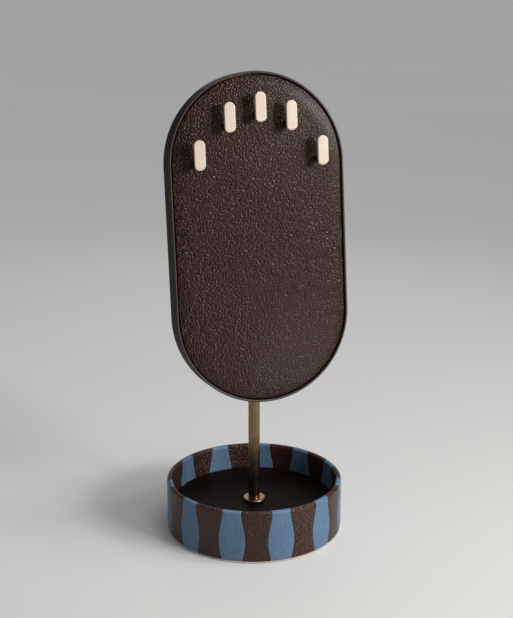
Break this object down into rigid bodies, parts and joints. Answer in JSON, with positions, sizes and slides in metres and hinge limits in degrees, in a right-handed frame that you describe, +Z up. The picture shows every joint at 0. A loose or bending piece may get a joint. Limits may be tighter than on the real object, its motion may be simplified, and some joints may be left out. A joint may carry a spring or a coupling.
{
  "type": "necklace stand",
  "caption": "Necklace stand: capsule-shaped leather panel with pegs, tilting on a brass post that rises from a round striped leather tray",
  "frame": {"origin": "on the table under the tray, on the axis of the post", "axes": "+Z up along the post, the panel faces -Y and leans back towards +Y, +X to the right of someone who faces the panel"},
  "size_m": [0.13, 0.13, 0.3362],
  "materials": {
    "brown_leather": "dark chocolate pebble-grain leather, satin",
    "blue_leather": "dusty blue pebble-grain leather, satin",
    "satin_brass": "satin brushed brass, slightly antique",
    "cream_lacquer": "smooth cream lacquer, semi-matte",
    "dark_lining": "smooth, almost black brown leather lining with a low sheen",
    "dark_suede": "dark brown suede-like backing",
    "cream_felt": "thin cream felt",
    "grey_board": "dense grey board, hidden",
    "fibre_board": "wood fibre board, hidden",
    "steel_weight": "plain steel disc, hidden",
    "zinc_steel": "zinc-plated steel, hidden",
    "nylon": "natural nylon"
  },
  "bodies": {
    "base": {"base_pad": "cream_felt", "bottom_board": "grey_board", "base_block": "fibre_board", "ballast_disc": "steel_weight", "clamp_washer": "zinc_steel", "clamp_bolt": "zinc_steel", "tray_wall": "grey_board", "tray_wrap": "brown_leather", "stripe_bands": "blue_leather", "floor_board": "grey_board", "floor_lining": "dark_lining", "foot_collar": "satin_brass", "post": "satin_brass", "post_eye": "satin_brass"},
    "panel": {"hinge_bracket": "satin_brass", "hinge_pin": "satin_brass", "friction_washers": "nylon", "hinge_nut": "satin_brass", "bracket_screws": "satin_brass", "back_cover": "dark_suede", "panel_core": "fibre_board", "rim_band": "brown_leather", "front_board": "grey_board", "front_pad": "brown_leather", "peg_screws": "zinc_steel", "peg_stalk_1": "satin_brass", "peg_stalk_2": "satin_brass", "peg_stalk_3": "satin_brass", "peg_stalk_4": "satin_brass", "peg_stalk_5": "satin_brass", "peg_head_1": "cream_lacquer", "peg_head_2": "cream_lacquer", "peg_head_3": "cream_lacquer", "peg_head_4": "cream_lacquer", "peg_head_5": "cream_lacquer"}
  },
  "joints": [
    {"name": "panel_tilt", "type": "hinge", "parent": "base", "child": "panel", "pos_m": [0, 0, 0.1643], "axis": [-1, 0, 0], "range_deg": [-7.4, 17.6]}
  ]
}
